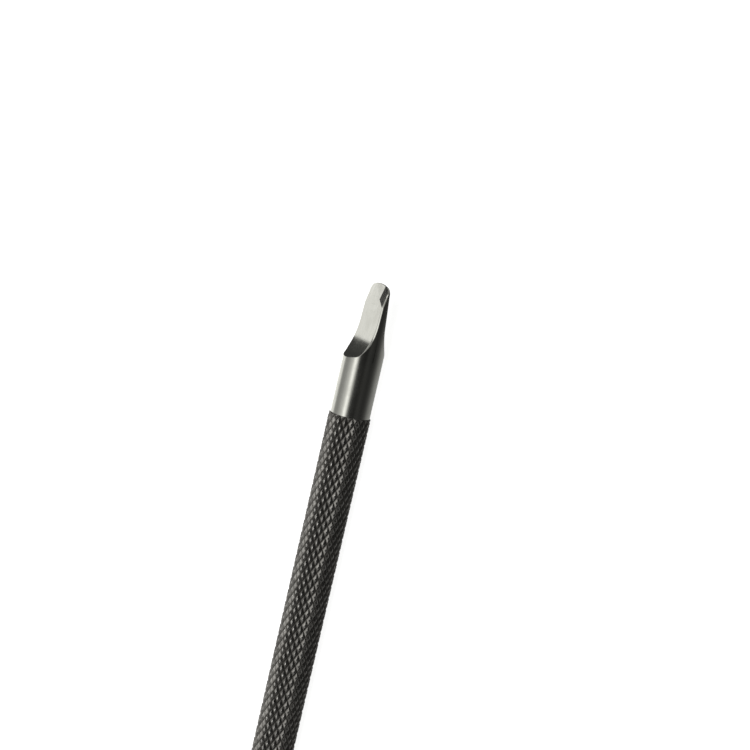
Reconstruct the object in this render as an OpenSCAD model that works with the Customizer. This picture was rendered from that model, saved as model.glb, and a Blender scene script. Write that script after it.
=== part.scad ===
// Double-ended cuticle pusher: a knurled hollow handle with a working end
// pressed into each mouth. The tool lies along X with the pusher blade at +X,
// its ground face up and the handle's crests touching z = 0.

/* [Handle] */
// Length of the knurled tube
handle_length = 86; // [60:1:110]
// Diameter over the crests of the knurl
handle_d = 6; // [5.6:0.1:8]
// Bore that the tangs press into
bore_d = 4; // [3:0.1:4.4]
// Lead-in chamfer at the mouths of the bore
bore_chamfer = 0.25; // [0.1:0.05:0.4]

/* [Necks] */
// Diameter of the smooth round necks
neck_d = 5.6; // [5:0.1:6]
// Length of the smooth neck behind the pusher blade
pusher_neck_length = 8; // [5:0.5:14]
// Length of the smooth neck behind the cleaner blade
cleaner_neck_length = 8; // [5:0.5:14]
// How far the sides of a blade draw in from its neck to its tip
side_relief = 0.1; // [0.05:0.05:0.3]

/* [Tangs] */
// Length of each tang inside the tube
tang_length = 13; // [8:0.5:20]
// Chamfer on the tang's inner end
tang_chamfer = 0.5; // [0.2:0.1:0.8]
// Number of retaining grooves on a tang
groove_count = 3; // [0:1:4]
// Width of a retaining groove
groove_w = 0.6; // [0.3:0.1:0.8]
// Depth of a retaining groove
groove_depth = 0.2; // [0.1:0.05:0.4]

/* [Pusher blade] */
// Length of the blade past its neck
blade_length = 10.7; // [9:0.1:14]
// Slope of the heel wall where the face is ground into the bar
heel_slope = 65; // [50:1:75]
// Height of the straight part of the heel wall
heel_wall = 0.54; // [0.2:0.02:0.7]
// Radius at the foot of the heel
heel_r = 1.5; // [1:0.1:1.8]
// Radius of the hollow-ground stretch of the face
face_r = 10; // [8:0.5:12]
// Slope at which the heel meets the hollow-ground stretch
face_entry = 28; // [24:1:32]
// Slope of the flat stretch of the face
face_slope = 2.3; // [0:0.1:4]
// Length of the bevel at the blade's tip
bevel_length = 2.1; // [1:0.1:3]
// Slope of the bevel
bevel_slope = 12; // [6:1:18]
// Thickness left at the edge
edge_t = 0.15; // [0.1:0.05:0.4]
// Depth of the back below the axis where its relief ends
back_depth = 1; // [0.8:0.1:1.6]
// Radius of the hollow part of the relief on the back
back_r = 9; // [6:0.5:12]
// Distance from the heel to the end of the relief on the back
relief_length = 4.9; // [4:0.1:6]
// Radius of the blade's end, seen from above
tip_r = 6.5; // [3:0.1:10]
// Radius of the two corners of the blade's end
corner_r = 1.1; // [0.4:0.1:1.5]

/* [Cleaner blade] */
// Length of the cleaner past its neck
cleaner_length = 12; // [10:0.5:16]
// Height of the lowest point of its hollow top above the axis
scoop_low = 0.35; // [0:0.05:0.8]
// Depth of its underside below the axis where the neck's curve ends
belly_depth = 1.1; // [0.6:0.05:1.5]
// Height of the point's top above the axis
point_lift = 1; // [0.8:0.05:1.6]
// Thickness at the point
point_t = 0.45; // [0.3:0.05:0.8]
// Width where the tapered part of the blade starts
waist_w = 3; // [2.2:0.1:4]
// Taper of each side towards the point
side_taper = 6; // [2:0.5:7]
// Radius of the curves that leave the neck
blend_r = 6; // [3:0.5:8]
// Radius of the hollows that follow them
hollow_r = 7; // [5:0.5:9]

/* [Hidden] */
round_fn = 96; // circles, which become true cylinders
arc_steps = 12; // straight steps in each arc of a sketch
over = 0.02; // how far outside the bar a ground curve starts, so that it cuts cleanly
beyond = 1; // how far a cutting sketch runs past what it cuts

neck_r = neck_d / 2;
blade_end_r = neck_r - side_relief; // of the bar at a blade's tip
bore_r = bore_d / 2;
handle_r = handle_d / 2;
end_chamfer = handle_r - neck_r; // the tube's mouths come down to the necks
pusher_reach = pusher_neck_length + blade_length;
cleaner_reach = cleaner_neck_length + cleaner_length;
overall_length = cleaner_reach + handle_length + pusher_reach;
pusher_mouth_x = overall_length / 2 - pusher_reach;
cleaner_mouth_x = cleaner_reach - overall_length / 2;
groove_pitch = tang_length / (groove_count + 1);

function last(points) = points[len(points) - 1];

// Points of an arc that starts at p with slope a0 and bends to slope a1 over radius r
function bend(p, a0, a1, r) =
    let (turn = sign(a1 - a0))
    [for (i = [0:arc_steps])
        let (a = a0 + (a1 - a0) * i / arc_steps)
        [p.x + turn * r * (sin(a) - sin(a0)), p.y - turn * r * (cos(a) - cos(a0))]];

// The point reached from p along slope a once x has grown by run
function along(p, a, run) = [p.x + run, p.y + run * tan(a)];

// Steepest slope of a fall made of a round of radius r_out and a hollow of radius r_in
// that ends at slope end
function fall_slope(fall, r_out, r_in, end = 0) =
    acos((r_out + r_in * cos(end) - fall) / (r_out + r_in));

// Radius of the arc that leaves level and rises by rise over the length run
function rise_r(run, rise) = (run * run + rise * rise) / (2 * rise);

// An outline in reverse order, and on the other side of the axis in reverse order
function reversed(points) = [for (i = [len(points) - 1:-1:0]) points[i]];
function mirrored(points) = [for (p = reversed(points)) [p.x, -p.y]];

// A side view sketch, given in x and z, made as wide as the bar
module side_cut() {
    rotate([90, 0, 0])
        linear_extrude(height = neck_d + 2 * beyond, center = true) children();
}

// A top view sketch, given in x and y, made as deep as the bar
module plan_cut() {
    linear_extrude(height = neck_d + 2 * beyond, center = true) children();
}

// Round bar along X that a working end is ground from: the neck, then the blade's part
module bar(neck_length, blade) {
    rotate([0, 90, 0]) {
        cylinder(r = neck_r, h = neck_length, $fn = round_fn);
        translate([0, 0, neck_length])
            cylinder(r1 = neck_r, r2 = blade_end_r, h = blade, $fn = round_fn);
    }
}

// Tang behind the shoulder at x = 0, with a chamfered end and retaining grooves
module tang() {
    rotate([0, -90, 0])
        difference() {
            union() {
                cylinder(r = bore_r, h = tang_length - tang_chamfer, $fn = round_fn);
                translate([0, 0, tang_length - tang_chamfer])
                    cylinder(r1 = bore_r, r2 = bore_r - tang_chamfer, h = tang_chamfer, $fn = round_fn);
            }
            for (i = [1:1:groove_count])
                translate([0, 0, i * groove_pitch - groove_w / 2])
                    difference() {
                        cylinder(r = bore_r + beyond, h = groove_w, $fn = round_fn);
                        translate([0, 0, -beyond])
                            cylinder(r = bore_r - groove_depth, h = groove_w + 2 * beyond, $fn = round_fn);
                    }
        }
}

// Top of the pusher in side view: heel wall, hollow, flat and bevel
heel_top = [pusher_neck_length, neck_r];
heel_foot = along(heel_top, -heel_slope, heel_wall / tan(heel_slope));
heel_arc = bend(heel_foot, -heel_slope, -face_entry, heel_r);
face_arc = bend(last(heel_arc), -face_entry, -face_slope, face_r);
bevel_start = along(last(face_arc), -face_slope, pusher_reach - bevel_length - last(face_arc).x);
tip_top = along(bevel_start, -bevel_slope, bevel_length);

// Back of the pusher: a hollow ground into the bar, then a straight taper
tip_back = [pusher_reach, tip_top.y - edge_t];
relief_end = [pusher_neck_length + relief_length, -back_depth];
taper_slope = atan2(tip_back.y - relief_end.y, tip_back.x - relief_end.x);
back_entry = fall_slope(neck_r + over - back_depth, 0, back_r, taper_slope);
relief_start = [relief_end.x - back_r * (sin(back_entry) - sin(taper_slope)), -neck_r - over];

module pusher_side_sketch() {
    polygon(concat(
        [[-beyond, neck_r + beyond], along(heel_top, -heel_slope, -beyond / tan(heel_slope))],
        heel_arc,
        face_arc,
        [bevel_start, along(tip_top, -bevel_slope, beyond)],
        [along(tip_back, taper_slope, beyond)],
        reversed(bend(relief_start, back_entry, taper_slope, back_r)),
        [[relief_start.x, -neck_r - beyond], [-beyond, -neck_r - beyond]]
    ));
}

// Half of the blade's rounded end, seen from above, from the side to the tip
function blade_end() =
    let (
        side_y = blade_end_r + over,
        centre_x = pusher_reach - tip_r,
        corner_x = sqrt(pow(tip_r - corner_r, 2) - pow(side_y - corner_r, 2)),
        meet = atan2(side_y - corner_r, corner_x)
    )
    concat(
        [for (i = [0:arc_steps])
            let (a = 90 + (meet - 90) * i / arc_steps)
            [centre_x + corner_x + corner_r * cos(a), side_y - corner_r + corner_r * sin(a)]],
        [for (i = [1:arc_steps])
            let (a = meet * (1 - i / arc_steps))
            [centre_x + tip_r * cos(a), tip_r * sin(a)]]
    );

module pusher_plan_sketch() {
    side_x = blade_end()[0].x;
    polygon(concat(
        [[-beyond, neck_r + beyond], [side_x, neck_r + beyond]],
        blade_end(),
        mirrored(blade_end()),
        [[side_x, -neck_r - beyond], [-beyond, -neck_r - beyond]]
    ));
}

// Side view of the cleaner: a hollow top over a curved underside
function fall(start, depth, end) =
    let (
        steep = fall_slope(start.y - depth, blend_r, hollow_r, end),
        round = bend(start, 0, -steep, blend_r)
    )
    concat(round, bend(last(round), -steep, -end, hollow_r));

// An arc that leaves level at p and passes through the point at the tool's end
function sweep(p, point) =
    let (r = rise_r(point.x - p.x, point.y - p.y))
    bend(p, 0, asin((point.x + beyond - p.x) / r), r);

scoop_fall = fall([cleaner_neck_length, neck_r + over], scoop_low, 0);
belly_fall = mirrored(fall([cleaner_neck_length, neck_r + over], belly_depth, 0));
scoop_sweep = sweep(last(scoop_fall), [cleaner_reach, point_lift]);
belly_sweep = sweep(belly_fall[0], [cleaner_reach, point_lift - point_t]);

module cleaner_side_sketch() {
    polygon(concat(
        [[-beyond, neck_r + beyond], [cleaner_neck_length, neck_r + beyond]],
        scoop_fall,
        scoop_sweep,
        reversed(belly_sweep),
        belly_fall,
        [[cleaner_neck_length, -neck_r - beyond], [-beyond, -neck_r - beyond]]
    ));
}

// Half of the cleaner seen from above, from the neck to the point: its sides fall to the
// waist and taper, and a nose as wide as the taper leaves ends the tool
waist_fall = fall([cleaner_neck_length, neck_r + over], waist_w / 2, side_taper);
nose_run = 1 - sin(side_taper); // run from the nose's start to the point, times its radius
nose_r = (last(waist_fall).y - tan(side_taper) * (cleaner_reach - last(waist_fall).x))
    / (cos(side_taper) - tan(side_taper) * nose_run);
nose_start = along(last(waist_fall), -side_taper,
    cleaner_reach - nose_run * nose_r - last(waist_fall).x);
cleaner_half = concat(waist_fall, bend(nose_start, -side_taper, -90, nose_r));

module cleaner_plan_sketch() {
    polygon(concat(
        [[-beyond, neck_r + beyond], [cleaner_neck_length, neck_r + beyond]],
        cleaner_half,
        mirrored(cleaner_half),
        [[cleaner_neck_length, -neck_r - beyond], [-beyond, -neck_r - beyond]]
    ));
}

// Hollow handle at the crest diameter of its knurl, open at both mouths
module knurled_tube() {
    color("dimgray")
        translate([cleaner_mouth_x, 0, handle_r])
            rotate([0, 90, 0])
                difference() {
                    union() {
                        cylinder(r1 = neck_r, r2 = handle_r, h = end_chamfer, $fn = round_fn);
                        translate([0, 0, end_chamfer])
                            cylinder(r = handle_r, h = handle_length - 2 * end_chamfer, $fn = round_fn);
                        translate([0, 0, handle_length - end_chamfer])
                            cylinder(r1 = handle_r, r2 = neck_r, h = end_chamfer, $fn = round_fn);
                    }
                    translate([0, 0, -beyond])
                        cylinder(r = bore_r, h = handle_length + 2 * beyond, $fn = round_fn);
                    cylinder(r1 = bore_r + bore_chamfer, r2 = bore_r, h = bore_chamfer, $fn = round_fn);
                    translate([0, 0, handle_length - bore_chamfer])
                        cylinder(r1 = bore_r, r2 = bore_r + bore_chamfer, h = bore_chamfer, $fn = round_fn);
                }
}

// Solid working end at +X: tang, neck and hollow-ground pusher blade
module pusher_end() {
    color("silver")
        translate([pusher_mouth_x, 0, handle_r]) {
            intersection() {
                bar(pusher_neck_length, blade_length);
                side_cut() pusher_side_sketch();
                plan_cut() pusher_plan_sketch();
            }
            tang();
        }
}

// Solid working end at -X: tang, neck and narrow upswept cleaner
module cleaner_end() {
    color("silver")
        translate([cleaner_mouth_x, 0, handle_r])
            mirror([1, 0, 0]) {
                intersection() {
                    bar(cleaner_neck_length, cleaner_length);
                    side_cut() cleaner_side_sketch();
                    plan_cut() cleaner_plan_sketch();
                }
                tang();
            }
}

knurled_tube();
pusher_end();
cleaner_end();
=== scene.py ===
import math

import bpy
from mathutils import Matrix, Vector


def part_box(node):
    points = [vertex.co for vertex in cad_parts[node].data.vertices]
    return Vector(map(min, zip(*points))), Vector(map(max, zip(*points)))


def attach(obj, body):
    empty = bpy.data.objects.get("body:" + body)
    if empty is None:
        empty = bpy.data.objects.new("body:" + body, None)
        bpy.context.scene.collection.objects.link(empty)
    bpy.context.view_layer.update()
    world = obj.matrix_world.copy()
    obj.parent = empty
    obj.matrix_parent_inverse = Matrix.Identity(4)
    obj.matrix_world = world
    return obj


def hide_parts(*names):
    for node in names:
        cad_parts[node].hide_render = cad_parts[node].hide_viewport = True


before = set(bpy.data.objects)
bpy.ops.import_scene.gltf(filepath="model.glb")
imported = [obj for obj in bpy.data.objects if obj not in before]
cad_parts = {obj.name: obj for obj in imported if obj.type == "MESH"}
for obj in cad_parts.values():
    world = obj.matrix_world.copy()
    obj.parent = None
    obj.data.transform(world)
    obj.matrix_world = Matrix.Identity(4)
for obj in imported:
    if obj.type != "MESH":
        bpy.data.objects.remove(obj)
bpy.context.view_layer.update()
print("frame loaded:", ", ".join(sorted(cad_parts)))

# The tool is drawn in millimetres about its own axis, then brought to the frame at the end.
millimetre = 0.001
tubeLow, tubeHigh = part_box("knurled_tube")
axisHeight = (tubeLow.z + tubeHigh.z) / 2 / millimetre
tubeStart, tubeEnd = tubeLow.x / millimetre, tubeHigh.x / millimetre
toX = (0, math.pi / 2, 0)  # turns a primitive's Z to the tool's X
samePlace = 1e-4  # closer than this counts as touching
sideView, planView = 1, -1  # an outline is drawn in X and Z, or in X and Y
fewSides = 8  # a face with more corners than this is a round end or a ring


# Helpers that every piece uses.

def objectMode():
    if bpy.context.object and bpy.context.object.mode != "OBJECT":
        bpy.ops.object.mode_set(mode="OBJECT")


def clearSelection():
    objectMode()
    bpy.ops.object.select_all(action="DESELECT")


def makeActive(piece):
    clearSelection()
    piece.select_set(True)
    bpy.context.view_layer.objects.active = piece


def pick(piece, kind, test):
    # leaves the piece in edit mode with what passes the test selected
    makeActive(piece)
    bpy.ops.object.mode_set(mode="EDIT")
    bpy.ops.mesh.select_mode(type=kind)
    bpy.ops.mesh.select_all(action="DESELECT")
    bpy.ops.object.mode_set(mode="OBJECT")
    mesh = piece.data
    parts = {"VERT": mesh.vertices, "EDGE": mesh.edges, "FACE": mesh.polygons}[kind]
    for part in parts:
        part.select = test(part)
    bpy.ops.object.mode_set(mode="EDIT")


def pickAll(piece):
    makeActive(piece)
    bpy.ops.object.mode_set(mode="EDIT")
    bpy.ops.mesh.select_all(action="SELECT")


def applyModifier(piece, kind, **settings):
    makeActive(piece)
    modifier = piece.modifiers.new(kind.title(), kind)
    for name, value in settings.items():
        setattr(modifier, name, value)
    bpy.ops.object.modifier_apply(modifier=modifier.name)


def cutWith(piece, cutter, how):
    # boolean with a cutter that is thrown away afterwards
    applyModifier(piece, "BOOLEAN", operation=how, object=cutter, solver="EXACT")
    bpy.data.objects.remove(cutter)


def addCylinder(name, radius, start, end, sides, ends="NGON"):
    # a cylinder along the tool's axis from start to end
    clearSelection()
    bpy.ops.mesh.primitive_cylinder_add(
        vertices=sides, radius=radius, depth=end - start, end_fill_type=ends,
        location=((start + end) / 2, 0, 0), rotation=toX)
    piece = bpy.context.object
    piece.name = piece.data.name = name
    bpy.ops.object.transform_apply(location=True, rotation=True, scale=True)
    return piece


def growEnd(piece, x, steps):
    # pulls the flat end that looks along the axis at x through a list of (travel, radius) steps
    for travel, radius in steps:
        pick(piece, "FACE", lambda f: abs(f.center.x - x) < samePlace and abs(f.normal.x) > 0.99
             and len(f.vertices) > fewSides)
        now = max(math.hypot(piece.data.vertices[v].co.y, piece.data.vertices[v].co.z)
                  for f in piece.data.polygons if f.select for v in f.vertices)
        bpy.ops.mesh.extrude_region_move(TRANSFORM_OT_translate={"value": (travel, 0, 0)})
        scale = radius / now
        bpy.ops.transform.resize(value=(1, scale, scale), center_override=(x + travel, 0, 0))
        bpy.ops.object.mode_set(mode="OBJECT")
        x += travel
    return x


def startOutline(name, point):
    # one vertex in the side view's plane, ready to be drawn on from
    clearSelection()
    bpy.ops.mesh.primitive_plane_add(size=1, location=point)
    outline = bpy.context.object
    outline.name = outline.data.name = name
    bpy.ops.object.transform_apply(location=True, rotation=True, scale=True)
    bpy.ops.object.mode_set(mode="EDIT")
    bpy.ops.mesh.select_mode(type="VERT")
    bpy.ops.mesh.select_all(action="SELECT")
    bpy.ops.mesh.merge(type="CENTER")
    return Vector(point)


def lineTo(here, there):
    there = Vector(there)
    bpy.ops.mesh.extrude_region_move(TRANSFORM_OT_translate={"value": there - here})
    return there


def arcFrom(here, fromSlope, toSlope, radius, steps, view):
    # spins the last vertex from one slope to another; slopes are in degrees, rising towards +X
    turn = 1 if toSlope > fromSlope else -1
    a, b = math.radians(fromSlope), math.radians(toSlope)
    up = Vector((0, 0, 1)) if view == sideView else Vector((0, 1, 0))
    along = Vector((1, 0, 0))
    centre = here + turn * radius * (up * math.cos(a) - along * math.sin(a))
    axis = (0, -1, 0) if view == sideView else (0, 0, 1)
    bpy.ops.mesh.spin(steps=steps, angle=a - b, center=centre, axis=axis, dupli=False)
    return centre + turn * radius * (along * math.sin(b) - up * math.cos(b))


def closeOutline(thickness, direction):
    # fills the drawn outline and gives it a thickness, centred on the outline's plane
    outline = bpy.context.object
    bpy.ops.mesh.select_all(action="SELECT")
    bpy.ops.mesh.remove_doubles(threshold=1e-5)
    bpy.ops.mesh.edge_face_add()
    half = Vector(direction) * thickness / 2
    bpy.ops.transform.translate(value=-half)
    bpy.ops.mesh.extrude_region_move(TRANSFORM_OT_translate={"value": half * 2})
    bpy.ops.mesh.select_all(action="SELECT")
    bpy.ops.mesh.normals_make_consistent(inside=False)
    bpy.ops.object.mode_set(mode="OBJECT")
    return outline


def fallSlope(fall, outer, inner, end=0.0):
    # steepest slope of a round of one radius followed by a hollow of another
    end = math.radians(end)
    return math.degrees(math.acos((outer + inner * math.cos(end) - fall) / (outer + inner)))


def toFrame(piece):
    # from millimetres about the axis to metres in the frame, with the place left in the mesh
    makeActive(piece)
    piece.location = (0, 0, axisHeight * millimetre)
    piece.scale = (millimetre,) * 3
    bpy.ops.object.transform_apply(location=True, rotation=True, scale=True)


def finishPiece(piece, node, material, angle):
    toFrame(piece)
    bpy.ops.object.shade_smooth_by_angle(angle=math.radians(angle), keep_sharp_edges=True)
    piece.data.materials.clear()
    piece.data.materials.append(material)
    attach(piece, "root")
    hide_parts(node)
    print(piece.name, "done:", len(piece.data.polygons), "faces")


# Effects that the materials share, as node groups.

def newGroup(name, inputs, outputs):
    group = bpy.data.node_groups.new(name, "ShaderNodeTree")
    for label, kind, value in inputs:
        socket = group.interface.new_socket(name=label, in_out="INPUT", socket_type=kind)
        if value is not None:
            socket.default_value = value
    for label, kind in outputs:
        group.interface.new_socket(name=label, in_out="OUTPUT", socket_type=kind)
    return group, group.nodes.new("NodeGroupInput"), group.nodes.new("NodeGroupOutput")


def addMath(tree, operation, first, second=None):
    node = tree.nodes.new("ShaderNodeMath")
    node.operation = operation
    for socket, value in zip(node.inputs, (first, second)):
        if isinstance(value, (int, float)):
            socket.default_value = value
        elif value is not None:
            tree.links.new(value, socket)
    return node.outputs[0]


def addRange(tree, value, low, high, toLow=0.0, toHigh=1.0, smooth=True):
    node = tree.nodes.new("ShaderNodeMapRange")
    node.interpolation_type = "SMOOTHSTEP" if smooth else "LINEAR"
    tree.links.new(value, node.inputs["Value"])
    for name, number in (("From Min", low), ("From Max", high),
                         ("To Min", toLow), ("To Max", toHigh)):
        node.inputs[name].default_value = number
    return node.outputs["Result"]


def addMix(tree, mask, first, second):
    node = tree.nodes.new("ShaderNodeMix")
    node.data_type = "RGBA"
    tree.links.new(mask, node.inputs["Factor"])
    for name, value in (("A", first), ("B", second)):
        socket = [s for s in node.inputs if s.name == name and s.type == "RGBA"][0]
        if isinstance(value, tuple):
            socket.default_value = value
        else:
            tree.links.new(value, socket)
    return [s for s in node.outputs if s.type == "RGBA"][0]


def buildGrindLines():
    # fine lines left by a belt or wheel: stretched noise, as a height and as a mask
    group, given, out = newGroup(
        "grindLines",
        [("Coordinates", "NodeSocketVector", None),
         ("Along", "NodeSocketVector", (1.0, 1.0, 1.0))],
        [("Height", "NodeSocketFloat"), ("Mask", "NodeSocketFloat")])
    stretch = group.nodes.new("ShaderNodeVectorMath")
    stretch.operation = "MULTIPLY"
    group.links.new(given.outputs["Coordinates"], stretch.inputs[0])
    group.links.new(given.outputs["Along"], stretch.inputs[1])
    fine = group.nodes.new("ShaderNodeTexNoise")
    fine.inputs["Scale"].default_value = 1.0
    fine.inputs["Detail"].default_value = 4.0
    fine.inputs["Roughness"].default_value = 0.65
    group.links.new(stretch.outputs[0], fine.inputs["Vector"])
    coarse = group.nodes.new("ShaderNodeTexNoise")
    coarse.inputs["Scale"].default_value = 0.23
    coarse.inputs["Detail"].default_value = 2.0
    group.links.new(stretch.outputs[0], coarse.inputs["Vector"])
    both = addMath(group, "ADD", fine.outputs["Fac"],
                   addMath(group, "MULTIPLY", coarse.outputs["Fac"], 0.6))
    group.links.new(addMath(group, "SUBTRACT", both, 0.8), out.inputs["Height"])
    group.links.new(addRange(group, both, 0.62, 0.98), out.inputs["Mask"])
    return group


def buildHandling():
    # soft blotches where a tool has been held and put down
    group, given, out = newGroup(
        "handlingMarks",
        [("Coordinates", "NodeSocketVector", None), ("Size", "NodeSocketFloat", 1.0)],
        [("Blotches", "NodeSocketFloat")])
    blotch = group.nodes.new("ShaderNodeTexNoise")
    blotch.inputs["Detail"].default_value = 3.0
    blotch.inputs["Distortion"].default_value = 0.8
    group.links.new(given.outputs["Coordinates"], blotch.inputs["Vector"])
    group.links.new(given.outputs["Size"], blotch.inputs["Scale"])
    group.links.new(addRange(group, blotch.outputs["Fac"], 0.42, 0.68), out.inputs["Blotches"])
    return group


def buildAxisRadius():
    # distance of the surface from the tool's axis
    group, given, out = newGroup(
        "axisRadius", [("Coordinates", "NodeSocketVector", None)], [("Radius", "NodeSocketFloat")])
    split = group.nodes.new("ShaderNodeSeparateXYZ")
    group.links.new(given.outputs["Coordinates"], split.inputs[0])
    squares = [addMath(group, "MULTIPLY", split.outputs[n], split.outputs[n]) for n in ("Y", "Z")]
    radius = addMath(group, "SQRT", addMath(group, "ADD", *squares))
    group.links.new(radius, out.inputs["Radius"])
    return group


sharedEffects = {
    "lines": buildGrindLines(),
    "handling": buildHandling(),
    "radius": buildAxisRadius(),
}
print("shared effects ready")


def startMaterial(name, baseColor, roughness):
    material = bpy.data.materials.new(name)
    material.use_nodes = True
    tree = material.node_tree
    tree.nodes.clear()
    shader = tree.nodes.new("ShaderNodeBsdfPrincipled")
    shader.inputs["Base Color"].default_value = baseColor
    shader.inputs["Metallic"].default_value = 1.0
    shader.inputs["Roughness"].default_value = roughness
    output = tree.nodes.new("ShaderNodeOutputMaterial")
    tree.links.new(shader.outputs[0], output.inputs["Surface"])
    place = tree.nodes.new("ShaderNodeTexCoord")
    mapping = tree.nodes.new("ShaderNodeMapping")  # to millimetres about the axis
    mapping.inputs["Location"].default_value = (0, 0, -axisHeight)
    mapping.inputs["Scale"].default_value = (1 / millimetre,) * 3
    tree.links.new(place.outputs["Object"], mapping.inputs["Vector"])
    return material, tree, shader, mapping.outputs[0]


def useGroup(tree, effect, coordinates, **values):
    node = tree.nodes.new("ShaderNodeGroup")
    node.node_tree = sharedEffects[effect]
    tree.links.new(coordinates, node.inputs["Coordinates"])
    for name, value in values.items():
        node.inputs[name].default_value = value
    return node


def addBump(tree, height, distance, strength, before=None):
    bump = tree.nodes.new("ShaderNodeBump")
    bump.inputs["Distance"].default_value = distance
    bump.inputs["Strength"].default_value = strength
    tree.links.new(height, bump.inputs["Height"])
    if before:
        tree.links.new(before, bump.inputs["Normal"])
    return bump.outputs["Normal"]


def groundSteelMaterial():
    # the working ends: polished round necks and finely ground faces
    look = {
        "color": (0.66, 0.662, 0.62, 1), "dull": (0.57, 0.568, 0.525, 1),
        "neckLow": 0.16, "neckHigh": 0.26, "bladeLow": 0.1, "bladeHigh": 0.19,  # roughness
        "lines": (1.1, 8.0, 8.0), "linesDepth": 0.000002,  # along the tool, on the faces
        "turned": (9.0, 1.2, 1.2), "turnedDepth": 0.000006,  # round the tool, on the necks
        "bump": 0.3, "blotchSize": 0.35, "blotchTone": 0.5, "lineTone": 0.25, "roughShare": 0.5,
        "bladeStart": (tubeEnd - tubeStart) / 2 + 8.2, "blend": 0.6,
    }
    material, tree, shader, place = startMaterial("groundSteel", look["color"], 0.2)
    split = tree.nodes.new("ShaderNodeSeparateXYZ")
    tree.links.new(place, split.inputs[0])
    fromMiddle = addMath(tree, "ABSOLUTE", split.outputs["X"])
    onBlade = addRange(tree, fromMiddle, look["bladeStart"] - look["blend"],
                       look["bladeStart"] + look["blend"])
    lines = useGroup(tree, "lines", place, Along=look["lines"])
    turned = useGroup(tree, "lines", place, Along=look["turned"])
    marks = useGroup(tree, "handling", place, Size=look["blotchSize"])
    tone = addMath(tree, "MULTIPLY", marks.outputs["Blotches"], look["blotchTone"])
    tone = addMath(tree, "ADD", tone,
                   addMath(tree, "MULTIPLY", lines.outputs["Mask"], look["lineTone"]))
    tree.links.new(addMix(tree, tone, look["color"], look["dull"]), shader.inputs["Base Color"])
    rough = addMath(tree, "ADD",
                    addMath(tree, "MULTIPLY", marks.outputs["Blotches"], look["roughShare"]),
                    addMath(tree, "MULTIPLY", lines.outputs["Mask"], look["roughShare"]))
    neckRough = addRange(tree, rough, 0.0, 1.0, look["neckLow"], look["neckHigh"], smooth=False)
    bladeRough = addRange(tree, rough, 0.0, 1.0, look["bladeLow"], look["bladeHigh"], smooth=False)
    blend = tree.nodes.new("ShaderNodeMix")
    tree.links.new(onBlade, blend.inputs[0])
    tree.links.new(neckRough, blend.inputs[2])
    tree.links.new(bladeRough, blend.inputs[3])
    tree.links.new(blend.outputs[0], shader.inputs["Roughness"])
    first = addBump(tree, lines.outputs["Height"], look["linesDepth"], look["bump"])
    onNeck = addMath(tree, "SUBTRACT", 1.0, onBlade)
    rings = addMath(tree, "MULTIPLY", turned.outputs["Height"], onNeck)
    both = addBump(tree, rings, look["turnedDepth"], look["bump"], first)
    tree.links.new(both, shader.inputs["Normal"])
    return material


def knurledSteelMaterial(root, crest):
    # the handle: grooves painted darker towards their bottoms as shade, partly dirt; satin flanks;
    # crests painted bright, partly wear from handling and partly a painted highlight
    look = {
        # groove is painted shade at the bottom of the grooves, partly dirt
        "groove": (0.12, 0.114, 0.105, 1), "flank": (0.35, 0.34, 0.322, 1),
        # crest is partly wear from handling and partly a painted highlight
        "crest": (0.86, 0.85, 0.82, 1), "grime": (0.18, 0.173, 0.165, 1), "grimeShare": 0.45,
        "flankFrom": -0.05, "flankTo": 0.45, "crestFrom": 0.75, "crestTo": 0.97,  # of the depth
        "ragged": 0.25,  # how far the grain breaks up those borders, of the depth
        "grain": (3.1, 3.7, 3.3), "grainDepth": 0.00001, "bump": 0.35, "blotchSize": 0.45,
        "grooveRough": 0.45, "flankRough": 0.2, "crestRough": -0.04, "grainRough": 0.08,
    }
    material, tree, shader, place = startMaterial("knurledSteel", look["flank"], 0.3)
    radius = useGroup(tree, "radius", place).outputs["Radius"]
    grain = useGroup(tree, "lines", place, Along=look["grain"])
    marks = useGroup(tree, "handling", place, Size=look["blotchSize"])
    depth = crest - root
    lifted = addMath(tree, "ADD", radius,
                     addMath(tree, "MULTIPLY", grain.outputs["Height"], depth * look["ragged"]))
    # masks by distance from the axis: where the painted groove shade gives way to the flank, and
    # where the crests' wear and painted highlight begin
    clearOfGrooveShade, crestWearAndHighlight = (addRange(tree, lifted, root + depth * look[part + "From"],
                                 root + depth * look[part + "To"])
                        for part in ("flank", "crest"))
    grime = addMath(tree, "MULTIPLY", marks.outputs["Blotches"], look["grimeShare"])
    steel = addMix(tree, grime, look["flank"], look["grime"])
    # painted shade: the colour darkens to the groove colour towards the groove bottoms
    steel = addMix(tree, clearOfGrooveShade, look["groove"], steel)
    # painted highlight, partly wear: the crests are painted bright
    steel = addMix(tree, crestWearAndHighlight, steel, look["crest"])
    tree.links.new(steel, shader.inputs["Base Color"])
    rough = addRange(tree, clearOfGrooveShade, 0.0, 1.0, look["grooveRough"], look["flankRough"],
                     smooth=False)
    for mask, share in ((crestWearAndHighlight, look["crestRough"]), (grain.outputs["Mask"], look["grainRough"])):
        rough = addMath(tree, "ADD", rough, addMath(tree, "MULTIPLY", mask, share))
    tree.links.new(rough, shader.inputs["Roughness"])
    bump = addBump(tree, grain.outputs["Height"], look["grainDepth"], look["bump"])
    tree.links.new(bump, shader.inputs["Normal"])
    return material


# The handle: a tube with a rolled diamond knurl. Lengths are in millimetres, angles in degrees.
knurl = {
    "starts": 19,  # grooves of each hand
    "pitch": 1.72,  # of the diamonds along the axis
    "root": 2.765, "depth": 0.205,  # bottom of the grooves, and how far a diamond stands up
    "flankWidth": 0.27,  # of each flank, seen square on
    "landEdge": 0.07, "landRise": 0.014,  # soft edge round the top of a diamond
    "uneven": 0.006,  # how far the rolling leaves the tops from true
    "crest": 3.0, "mouth": 2.8, "bore": 2.0, "mouthChamfer": 0.25,
    "spare": 3.4, "sides": 96,  # the blank that cuts it to length stands proud of the crests
    "seed": 7, "shadeAngle": 32,
}


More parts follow.
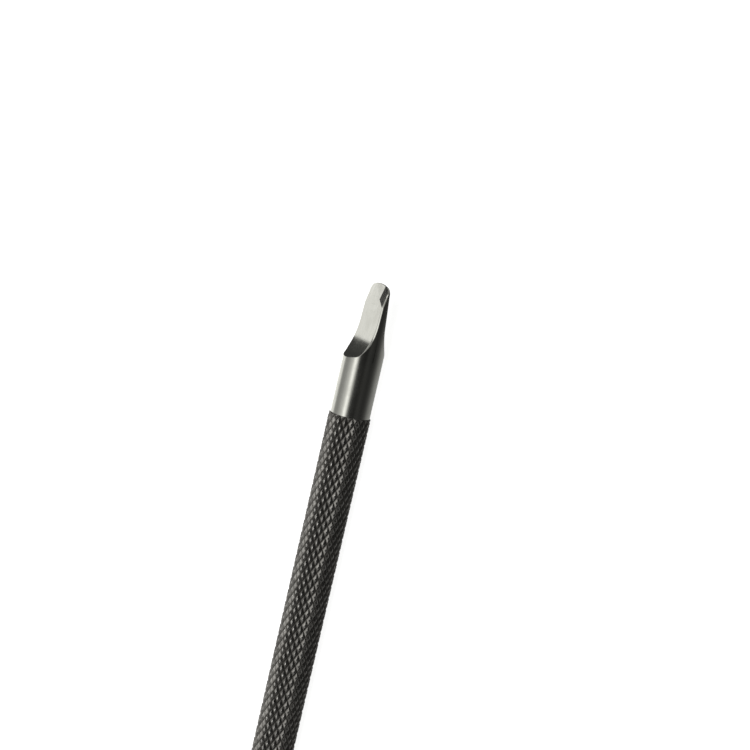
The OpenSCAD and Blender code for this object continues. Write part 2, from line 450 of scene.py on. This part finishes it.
def knurledRod(start, end):
    pitch, starts, slack = knurl["pitch"], knurl["starts"], 0.01
    rows = math.ceil((end - start) / pitch) + 2
    begin = (start + end) / 2 - rows * pitch / 2
    rod = addCylinder("knurledTube", knurl["root"], begin, begin + pitch, starts, ends="NOTHING")
    applyModifier(rod, "ARRAY", fit_type="FIXED_COUNT", count=rows, use_relative_offset=False,
                  use_constant_offset=True, constant_offset_displace=(pitch, 0, 0),
                  use_merge_vertices=True, merge_threshold=slack)
    # a point in the middle of every cell, then the cell's own edges go: what is left is diamonds
    pickAll(rod)
    bpy.ops.mesh.select_mode(type="FACE")
    bpy.ops.mesh.poke(offset=knurl["root"] * (1 - math.cos(math.pi / starts)),
                      use_relative_offset=False)
    bpy.ops.object.mode_set(mode="OBJECT")
    points = rod.data.vertices
    low, high = begin + slack, begin + rows * pitch - slack

    def cellEdge(edge):
        a, b = (points[v].co for v in edge.vertices)
        ring = abs(a.x - b.x) < slack
        along = math.hypot(a.y - b.y, a.z - b.z) < slack
        return (ring and low < a.x < high) or along

    pick(rod, "EDGE", cellEdge)
    bpy.ops.mesh.dissolve_edges(use_verts=False)
    bpy.ops.object.mode_set(mode="OBJECT")
    pick(rod, "FACE", lambda f: len(f.vertices) == 4)
    bpy.ops.mesh.inset(thickness=knurl["flankWidth"], depth=knurl["depth"], use_individual=True)
    bpy.ops.mesh.inset(thickness=knurl["landEdge"], depth=knurl["landRise"], use_individual=True)
    bpy.ops.transform.vertex_random(offset=knurl["uneven"], uniform=1.0, normal=0.0,
                                    seed=knurl["seed"])
    bpy.ops.object.mode_set(mode="OBJECT")
    # both open ends are filled before the rod is cut to length
    for side in (begin, begin + rows * pitch):
        pick(rod, "VERT", lambda v: abs(v.co.x - side) < slack)
        bpy.ops.mesh.edge_face_add()
        bpy.ops.object.mode_set(mode="OBJECT")
    pickAll(rod)
    bpy.ops.mesh.normals_make_consistent(inside=False)
    bpy.ops.object.mode_set(mode="OBJECT")
    return rod


def tubeBlank(start, end):
    # the tube without its knurl: chamfered mouths and a bore, well proud of the crests
    spare = knurl["spare"] - knurl["mouth"]
    blank = addCylinder("tubeBlank", knurl["spare"], start + spare, end - spare, knurl["sides"])
    for x, side in ((start + spare, -1), (end - spare, 1)):
        face = growEnd(blank, x, [(side * spare, knurl["mouth"])])
        mouth = knurl["bore"] + knurl["mouthChamfer"]
        pick(blank, "FACE",
             lambda f: abs(f.center.x - face) < samePlace and abs(f.normal.x) > 0.99)
        bpy.ops.mesh.inset(thickness=(knurl["mouth"] - mouth), depth=0)
        bpy.ops.object.mode_set(mode="OBJECT")
        pick(blank, "FACE",
             lambda f: abs(f.center.x - face) < samePlace and len(f.vertices) > fewSides)
        bpy.ops.mesh.extrude_region_move(
            TRANSFORM_OT_translate={"value": (-side * knurl["mouthChamfer"], 0, 0)})
        shrink = knurl["bore"] / mouth
        bpy.ops.transform.resize(value=(1, shrink, shrink), center_override=(face, 0, 0))
        bpy.ops.object.mode_set(mode="OBJECT")
    pick(blank, "FACE", lambda f: len(f.vertices) > fewSides)
    bpy.ops.mesh.bridge_edge_loops()
    bpy.ops.mesh.select_all(action="SELECT")
    bpy.ops.mesh.normals_make_consistent(inside=False)
    bpy.ops.object.mode_set(mode="OBJECT")
    return blank


knurledTube = knurledRod(tubeStart, tubeEnd)
cutWith(knurledTube, tubeBlank(tubeStart, tubeEnd), "INTERSECT")
finishPiece(knurledTube, "knurled_tube",
            knurledSteelMaterial(knurl["root"], knurl["crest"]), knurl["shadeAngle"])


# Both working ends are ground from a round bar whose tang is pressed into the tube.
tang = {
    "radius": 2.0, "length": 13.0, "chamfer": 0.5, "fit": 0.004,
    "grooves": 3, "grooveWidth": 0.6, "grooveDepth": 0.2,
}
smooth = {
    "sides": 256, "shortArc": 16, "arc": 20, "longArc": 24, "tipArc": 40, "noseArc": 48,
    "creaseAngle": 4, "rimAngle": 20, "rimSteps": 3, "rimProfile": 0.33, "shadeAngle": 15,
}
# How far the cutters stand clear of the bar, over its skin and past its tip.
clear, over, past = 1.0, 0.02, 0.2


def barWithTang(name, neckRadius, neckLength, bladeRadius, bladeLength):
    # the round bar that an end is ground from, with its tang behind the shoulder at x = 0
    bar = addCylinder(name, neckRadius, 0.0, neckLength, smooth["sides"])
    growEnd(bar, neckLength, [(bladeLength, bladeRadius)])
    radius = tang["radius"] - tang["fit"]
    pitch = tang["length"] / (tang["grooves"] + 1)
    steps, reached = [(0.0, radius)], 0.0
    for groove in range(1, tang["grooves"] + 1):
        edge = groove * pitch - tang["grooveWidth"] / 2
        steps += [(-(edge - reached), radius), (0.0, radius - tang["grooveDepth"]),
                  (-tang["grooveWidth"], radius - tang["grooveDepth"]), (0.0, radius)]
        reached = edge + tang["grooveWidth"]
    steps += [(-(tang["length"] - tang["chamfer"] - reached), radius),
              (-tang["chamfer"], radius - tang["chamfer"])]
    growEnd(bar, 0.0, steps)
    return bar


pusher = {
    "neckRadius": 2.8, "neckLength": 8.0, "bladeLength": 10.7, "bladeEndRadius": 2.7,
    "heelSlope": 65, "heelWall": 0.54, "heelRadius": 1.5,
    "faceRadius": 10.0, "faceEntry": 28, "faceSlope": 2.3,
    "bevelLength": 2.1, "bevelSlope": 12, "edge": 0.15,
    "backDepth": 1.0, "backRadius": 9.0, "reliefLength": 4.9,
    "tipRadius": 6.5, "cornerRadius": 1.1,
    # the small flat that is stoned on each side of the bevel: where it starts across the blade,
    # how far it draws out along the bevel, and how it cuts back into the face
    "cheekStart": 1.3, "cheekDraw": 0.06, "cheekBack": 0.75, "cheekAcross": 1.06,
    "cheekRise": 0.02, "cheekAhead": 1.2, "cheekCutter": (5.0, 7.0, 1.0),
    # rounding of the rims: least at the neck and tip, more along the face than on the back
    "rimNeck": 0.02, "rimLeast": 0.04, "rimFace": 0.14, "rimBack": 0.07, "faceAbove": -0.3,
    "rimStart": 9.0, "rimGrowth": 1.2, "rimTipGap": 0.5,
}
tangRims, neckRims = 1, 7  # no rim is rounded before the first, and hardly any before the second


def pusherSide():
    p = pusher
    reach = p["neckLength"] + p["bladeLength"]
    top = Vector((p["neckLength"], 0, p["neckRadius"]))
    steep = math.tan(math.radians(p["heelSlope"]))
    behind = -tang["length"] - clear
    here = start = startOutline("pusherSide", (behind, 0, p["neckRadius"] + clear))
    here = lineTo(here, top + Vector((-clear / steep, 0, clear)))
    here = lineTo(here, top + Vector((p["heelWall"] / steep, 0, -p["heelWall"])))
    here = arcFrom(here, -p["heelSlope"], -p["faceEntry"], p["heelRadius"],
                   smooth["arc"], sideView)
    here = arcFrom(here, -p["faceEntry"], -p["faceSlope"], p["faceRadius"],
                   smooth["longArc"], sideView)
    run = reach - p["bevelLength"] - here.x
    here = lineTo(here, here + Vector((run, 0, -run * math.tan(math.radians(p["faceSlope"])))))
    fall = math.tan(math.radians(p["bevelSlope"]))
    tip = here + Vector((p["bevelLength"], 0, -p["bevelLength"] * fall))
    here = lineTo(here, tip + Vector((past, 0, -past * fall)))
    relief = Vector((p["neckLength"] + p["reliefLength"], 0, -p["backDepth"]))
    back = Vector((reach, 0, tip.z - p["edge"]))
    rise = (back.z - relief.z) / (back.x - relief.x)
    here = lineTo(here, back + Vector((past, 0, past * rise)))
    here = lineTo(here, relief)
    taper = math.degrees(math.atan(rise))
    entry = fallSlope(p["neckRadius"] + over - p["backDepth"], 0, p["backRadius"], taper)
    here = arcFrom(here, taper, entry, -p["backRadius"], smooth["longArc"], sideView)
    here = lineTo(here, (here.x, 0, -p["neckRadius"] - clear))
    here = lineTo(here, (behind, 0, -p["neckRadius"] - clear))
    lineTo(here, start)
    return closeOutline(3 * p["neckRadius"], (0, 1, 0)), tip


def pusherPlan():
    p = pusher
    reach = p["neckLength"] + p["bladeLength"]
    side = p["bladeEndRadius"] + over
    r, c = p["tipRadius"], p["cornerRadius"]
    cornerX = math.sqrt((r - c) ** 2 - (side - c) ** 2)
    meet = math.degrees(math.atan2(side - c, cornerX))
    flank = reach - r + cornerX
    behind = -tang["length"] - clear
    wide = p["neckRadius"] + clear
    here = start = startOutline("pusherPlan", (behind, wide, 0))
    here = lineTo(here, (flank, wide, 0))
    here = lineTo(here, (flank, side, 0))
    here = arcFrom(here, 0, meet - 90, c, smooth["shortArc"], planView)
    here = arcFrom(here, meet - 90, -meet - 90, r, smooth["tipArc"], planView)
    here = arcFrom(here, -meet - 90, -180, c, smooth["shortArc"], planView)
    here = lineTo(here, (flank, -wide, 0))
    here = lineTo(here, (behind, -wide, 0))
    lineTo(here, start)
    return closeOutline(3 * p["neckRadius"], (0, 0, 1))


def cutCheeks(blade, tip):
    # a shallow flat on each side of the bevel, running back into the face as a slanted line
    down = math.tan(math.radians(pusher["bevelSlope"]))
    start = tip + Vector((-pusher["bevelLength"], 0, pusher["bevelLength"] * down))
    for side in (-1, 1):
        along = Vector((1, side * pusher["cheekDraw"], -down)).normalized()
        across = Vector((-pusher["cheekBack"], side * pusher["cheekAcross"], pusher["cheekRise"]))
        normal = along.cross(across).normalized() * side
        turn = Matrix((along, normal.cross(along), normal)).transposed().to_4x4()
        corner = start + Vector((0, side * pusher["cheekStart"], 0))
        clearSelection()
        bpy.ops.mesh.primitive_cube_add(size=1, location=(0, 0, 0.5))
        cutter = bpy.context.object
        cutter.scale = pusher["cheekCutter"]
        bpy.ops.object.transform_apply(location=True, rotation=False, scale=True)
        cutter.matrix_world = Matrix.Translation(corner + along * pusher["cheekAhead"]) @ turn
        cutWith(blade, cutter, "DIFFERENCE")


def markCreases(piece, flattest, steepest):
    # keeps the low edges between ground flats crisp
    pickAll(piece)
    bpy.ops.mesh.select_mode(type="EDGE")
    bpy.ops.mesh.select_all(action="DESELECT")
    bpy.ops.mesh.edges_select_sharp(sharpness=math.radians(steepest))
    bpy.ops.object.mode_set(mode="OBJECT")
    steep = {edge.index for edge in piece.data.edges if edge.select}
    pickAll(piece)
    bpy.ops.mesh.select_all(action="DESELECT")
    bpy.ops.mesh.edges_select_sharp(sharpness=math.radians(flattest))
    bpy.ops.object.mode_set(mode="OBJECT")
    low = {edge.index for edge in piece.data.edges if edge.select} - steep
    pick(piece, "EDGE", lambda e: e.index in low)
    bpy.ops.mesh.mark_sharp()
    bpy.ops.object.mode_set(mode="OBJECT")


def roundRims(piece, widthAt):
    # rounds every rim; widthAt gives the width for the middle of an edge, in millimetres
    pickAll(piece)
    bpy.ops.mesh.remove_doubles(threshold=0.004)
    bpy.ops.mesh.select_mode(type="EDGE")
    bpy.ops.mesh.select_all(action="DESELECT")
    bpy.ops.mesh.edges_select_sharp(sharpness=math.radians(smooth["rimAngle"]))
    bpy.ops.object.mode_set(mode="OBJECT")
    points, widths = piece.data.vertices, {}
    for edge in piece.data.edges:
        if edge.select:
            a, b = (points[v].co for v in edge.vertices)
            widths[edge.index] = round(widthAt((a + b) / 2), 2)
    widest = max(widths.values())
    for width in sorted(set(widths.values())):
        if width > 0:
            pick(piece, "EDGE", lambda e: widths.get(e.index) == width)
            bpy.ops.transform.edge_bevelweight(value=width / widest)
            bpy.ops.object.mode_set(mode="OBJECT")
    applyModifier(piece, "BEVEL", width=widest, segments=smooth["rimSteps"], limit_method="WEIGHT",
                  profile=smooth["rimProfile"], use_clamp_overlap=False, loop_slide=False)


def placeEnd(piece, mouth, turned):
    # from the shoulder at x = 0 to its mouth of the tube
    makeActive(piece)
    piece.location = (mouth, 0, 0)
    piece.rotation_euler = (0, 0, math.pi if turned else 0)
    bpy.ops.object.transform_apply(location=True, rotation=True, scale=True)


def pusherRim(place):
    if place.x < tangRims:
        return 0.0
    if place.x < neckRims:
        return pusher["rimNeck"]
    tip = pusher["neckLength"] + pusher["bladeLength"] - pusher["rimTipGap"]
    share = min(1.0, max(0.0, (tip - place.x) / pusher["rimGrowth"]),
                max(0.0, (place.x - pusher["rimStart"]) / pusher["rimGrowth"]))
    width = pusher["rimFace"] if place.z > pusher["faceAbove"] else pusher["rimBack"]
    return pusher["rimLeast"] + width * share


steelOfEnds = groundSteelMaterial()
pusherEnd = barWithTang("pusherEnd", pusher["neckRadius"], pusher["neckLength"],
                        pusher["bladeEndRadius"], pusher["bladeLength"])
sideBlank, tipTop = pusherSide()
cutWith(pusherEnd, sideBlank, "INTERSECT")
cutWith(pusherEnd, pusherPlan(), "INTERSECT")
cutCheeks(pusherEnd, tipTop)
markCreases(pusherEnd, smooth["creaseAngle"], smooth["rimAngle"])
roundRims(pusherEnd, pusherRim)
placeEnd(pusherEnd, tubeEnd, False)
finishPiece(pusherEnd, "pusher_end", steelOfEnds, smooth["shadeAngle"])


cleaner = {
    "neckRadius": 2.8, "neckLength": 8.0, "bladeLength": 12.0, "bladeEndRadius": 2.7,
    "scoopLow": 0.35, "bellyDepth": 1.1, "pointLift": 1.0, "pointThickness": 0.45,
    "waist": 1.5, "taper": 6, "blendRadius": 6.0, "hollowRadius": 7.0,
    "rimNeck": 0.02, "rim": 0.1,
}


def sweepRadius(run, rise):
    # radius of an arc that starts level and climbs by rise over run
    return (run * run + rise * rise) / (2 * rise)


def cleanerSide():
    c = cleaner
    reach, edge = c["neckLength"] + c["bladeLength"], c["neckRadius"] + over
    wide, behind = c["neckRadius"] + clear, -tang["length"] - clear
    outer, inner = c["blendRadius"], c["hollowRadius"]
    here = start = startOutline("cleanerSide", (behind, 0, wide))
    here = lineTo(here, (c["neckLength"], 0, wide))
    here = lineTo(here, (c["neckLength"], 0, edge))
    steep = fallSlope(edge - c["scoopLow"], outer, inner)
    here = arcFrom(here, 0, -steep, outer, smooth["arc"], sideView)
    here = arcFrom(here, -steep, 0, inner, smooth["arc"], sideView)
    radius = sweepRadius(reach - here.x, c["pointLift"] - here.z)
    rise = math.degrees(math.asin((reach + past - here.x) / radius))
    here = arcFrom(here, 0, rise, radius, smooth["arc"], sideView)
    # the underside, drawn from the point back to the neck
    steep = fallSlope(edge - c["bellyDepth"], outer, inner)
    foot = Vector((c["neckLength"] + (outer + inner) * math.sin(math.radians(steep)), 0,
                   -c["bellyDepth"]))
    radius = sweepRadius(reach - foot.x, c["pointLift"] - c["pointThickness"] - foot.z)
    rise = math.asin((reach + past - foot.x) / radius)
    here = lineTo(here, foot + Vector((math.sin(rise), 0, 1 - math.cos(rise))) * radius)
    here = arcFrom(here, math.degrees(rise), 0, -radius, smooth["arc"], sideView)
    here = arcFrom(here, 0, steep, -inner, smooth["arc"], sideView)
    here = arcFrom(here, steep, 0, -outer, smooth["arc"], sideView)
    here = lineTo(here, (here.x, 0, -wide))
    here = lineTo(here, (behind, 0, -wide))
    lineTo(here, start)
    return closeOutline(3 * c["neckRadius"], (0, 1, 0))


def cleanerPlan():
    c = cleaner
    reach, edge = c["neckLength"] + c["bladeLength"], c["neckRadius"] + over
    wide, behind = c["neckRadius"] + clear, -tang["length"] - clear
    taper, outer, inner = c["taper"], c["blendRadius"], c["hollowRadius"]
    tilt = math.radians(taper)
    here = start = startOutline("cleanerPlan", (behind, wide, 0))
    here = lineTo(here, (c["neckLength"], wide, 0))
    here = lineTo(here, (c["neckLength"], edge, 0))
    steep = fallSlope(edge - c["waist"], outer, inner, taper)
    here = arcFrom(here, 0, -steep, outer, smooth["arc"], planView)
    here = arcFrom(here, -steep, -taper, inner, smooth["arc"], planView)
    noseRun = 1 - math.sin(tilt)
    nose = ((here.y - math.tan(tilt) * (reach - here.x))
            / (math.cos(tilt) - math.tan(tilt) * noseRun))
    run = reach - noseRun * nose - here.x
    here = lineTo(here, here + Vector((run, -run * math.tan(tilt), 0)))
    here = arcFrom(here, -taper, taper - 180, nose, smooth["noseArc"], planView)
    here = lineTo(here, here - Vector((run, run * math.tan(tilt), 0)))
    here = arcFrom(here, taper - 180, steep - 180, inner, smooth["arc"], planView)
    here = arcFrom(here, steep - 180, -180, outer, smooth["arc"], planView)
    here = lineTo(here, (here.x, -wide, 0))
    here = lineTo(here, (behind, -wide, 0))
    lineTo(here, start)
    return closeOutline(3 * c["neckRadius"], (0, 0, 1))


def cleanerRim(place):
    if place.x < tangRims:
        return 0.0
    return cleaner["rimNeck"] if place.x < neckRims else cleaner["rim"]


cleanerEnd = barWithTang("cleanerEnd", cleaner["neckRadius"], cleaner["neckLength"],
                         cleaner["bladeEndRadius"], cleaner["bladeLength"])
cutWith(cleanerEnd, cleanerSide(), "INTERSECT")
cutWith(cleanerEnd, cleanerPlan(), "INTERSECT")
roundRims(cleanerEnd, cleanerRim)
placeEnd(cleanerEnd, tubeStart, True)
finishPiece(cleanerEnd, "cleaner_end", steelOfEnds, smooth["shadeAngle"])


def pointCamera():
    # the camera looks at the tube's mouth from the front and above, and is rolled to the lean
    shot = {
        "axisAngle": 60.75, "towardsTip": 8.0, "lean": 13.1,  # degrees
        "distance": 197.5, "frameWidth": 103.9, "right": 3.46, "up": 5.47,  # millimetres
        "sensor": 36, "nearest": 0.001,
    }
    tipwards, around = math.radians(shot["towardsTip"]), math.radians(shot["axisAngle"])
    back = Vector((math.sin(tipwards), -math.sin(around) * math.cos(tipwards),
                   math.cos(around) * math.cos(tipwards)))
    along = (Vector((1, 0, 0)) - back * back.x).normalized()
    up = Matrix.Rotation(math.radians(shot["lean"]), 3, back) @ along
    right = up.cross(back)
    aim = Vector((tubeEnd, 0, axisHeight)) + right * shot["right"] + up * shot["up"]
    data = bpy.data.cameras.new("camera")
    data.sensor_width = shot["sensor"]
    data.lens = shot["sensor"] * shot["distance"] / shot["frameWidth"]
    data.clip_start = shot["nearest"]
    camera = bpy.data.objects.new("camera", data)
    bpy.context.scene.collection.objects.link(camera)
    turn = Matrix((right, up, back)).transposed().to_4x4()
    camera.matrix_world = Matrix.Translation((aim + back * shot["distance"]) * millimetre) @ turn
    bpy.context.scene.camera = camera


def layFloor():
    # a pale floor that lights itself, so that hardly any shadow is left on it
    pale = {"size": 6.0, "color": (0.94, 0.94, 0.938, 1), "glow": 0.99, "roughness": 0.9}
    material = bpy.data.materials.new("paleFloor")
    material.use_nodes = True
    shader = material.node_tree.nodes["Principled BSDF"]
    for name, value in (("Base Color", pale["color"]), ("Roughness", pale["roughness"]),
                        ("Specular IOR Level", 0.0), ("Emission Color", pale["color"]),
                        ("Emission Strength", pale["glow"])):
        shader.inputs[name].default_value = value
    clearSelection()
    bpy.ops.mesh.primitive_plane_add(size=pale["size"], location=(0, 0, 0))
    floor = bpy.context.object
    floor.name = "studioFloor"
    floor.data.materials.append(material)
    floor.visible_glossy = False


def lightStudio():
    lamp = {"at": (0.05, 0.05, 0.9), "size": 1.6, "watts": 6.0}
    data = bpy.data.lights.new("overhead", "AREA")
    data.size = lamp["size"]
    data.energy = lamp["watts"]
    overhead = bpy.data.objects.new("overhead", data)
    overhead.location = lamp["at"]
    overhead.rotation_euler = (-Vector(lamp["at"])).to_track_quat("-Z", "Y").to_euler()
    overhead.visible_glossy = False
    bpy.context.scene.collection.objects.link(overhead)


def wallRamp(tree, share, levels, top):
    # one wall's brightness by angle, with a trace of warmth
    ramp = tree.nodes.new("ShaderNodeValToRGB")
    ramp.color_ramp.interpolation = "LINEAR"
    tree.links.new(share, ramp.inputs["Fac"])
    stops = ramp.color_ramp.elements
    for number, (degrees, level) in enumerate(levels):
        stop = stops[number] if number < 2 else stops.new((degrees + 180) / 360)
        stop.position = (degrees + 180) / 360
        stop.color = (level / top, level / top * 0.995, level / top * 0.97, 1)
    return ramp.outputs["Color"]


def studioWalls():
    # the soft boxes, pale walls and dark corners that the steel reflects, by direction:
    # the angle goes round the tool's axis, 0 at the front, 90 overhead and 180 behind
    walls = {
        "front": [
            (-180, 1.6), (-156, 1.5), (-148, 0.42), (-110, 0.36), (-92, 0.29), (-76, 0.19),
            (-62, 0.09), (-46, 0.04), (-31, 0.026), (-8, 0.042), (0, 0.036), (12, 0.018),
            (30, 0.026), (42, 0.06), (50, 0.4), (58, 1.15), (64, 1.5), (70, 1.3), (80, 0.72),
            (92, 0.56), (108, 0.36), (126, 0.31), (137, 0.37), (147, 1.0), (180, 1.1),
        ],
        "tipSide": [
            (-180, 0.05), (-90, 0.05), (-70, 0.13), (20, 0.12), (47, 0.17), (58, 0.26),
            (68, 0.26), (78, 0.3), (96, 0.5), (120, 0.8), (138, 0.7), (147, 0.06), (180, 0.05),
        ],
        "farSide": [
            (-180, 0.3), (-150, 0.15), (20, 0.15), (50, 0.1), (58, 0.9), (70, 0.9), (78, 0.15),
            (100, 0.2), (125, 0.7), (155, 0.7), (180, 0.6),
        ],
        "tipSideFrom": (0.155, 0.19), "farSideFrom": (-0.36, -0.46),  # along the tool's axis
    }
    # a narrow dark panel high up behind, by direction
    panel = {"up": (0.555, 0.595), "top": (0.78, 0.7), "along": (0.03, 0.07),
             "back": (0.05, 0.15), "color": (0.022, 0.022, 0.022, 1)}
    world = bpy.data.worlds.new("studioWalls")
    world.use_nodes = True
    tree = world.node_tree
    tree.nodes.clear()
    output = tree.nodes.new("ShaderNodeOutputWorld")
    background = tree.nodes.new("ShaderNodeBackground")
    tree.links.new(background.outputs[0], output.inputs["Surface"])
    place = tree.nodes.new("ShaderNodeTexCoord")
    split = tree.nodes.new("ShaderNodeSeparateXYZ")
    tree.links.new(place.outputs["Generated"], split.inputs[0])
    x, y, z = (split.outputs[n] for n in "XYZ")
    angle = addMath(tree, "ARCTAN2", z, addMath(tree, "MULTIPLY", y, -1.0))
    share = addRange(tree, angle, -math.pi, math.pi, 0.0, 1.0, smooth=False)
    names = ("front", "tipSide", "farSide")
    top = max(stop[1] for name in names for stop in walls[name])
    front, tipSide, farSide = (wallRamp(tree, share, walls[name], top) for name in names)
    color = addMix(tree, addRange(tree, x, *walls["tipSideFrom"]), front, tipSide)
    color = addMix(tree, addRange(tree, x, *walls["farSideFrom"]), color, farSide)
    inPanel = addRange(tree, z, *panel["up"])
    for part, limits in ((z, panel["top"]), (x, panel["along"]), (y, panel["back"])):
        inPanel = addMath(tree, "MULTIPLY", inPanel, addRange(tree, part, *limits))
    color = addMix(tree, inPanel, color, panel["color"])
    tree.links.new(color, background.inputs["Color"])
    background.inputs["Strength"].default_value = top
    world.cycles_visibility.diffuse = False
    bpy.context.scene.world = world


pointCamera()
layFloor()
lightStudio()
studioWalls()
bpy.context.scene.view_settings.view_transform = "Standard"
print("studio ready")
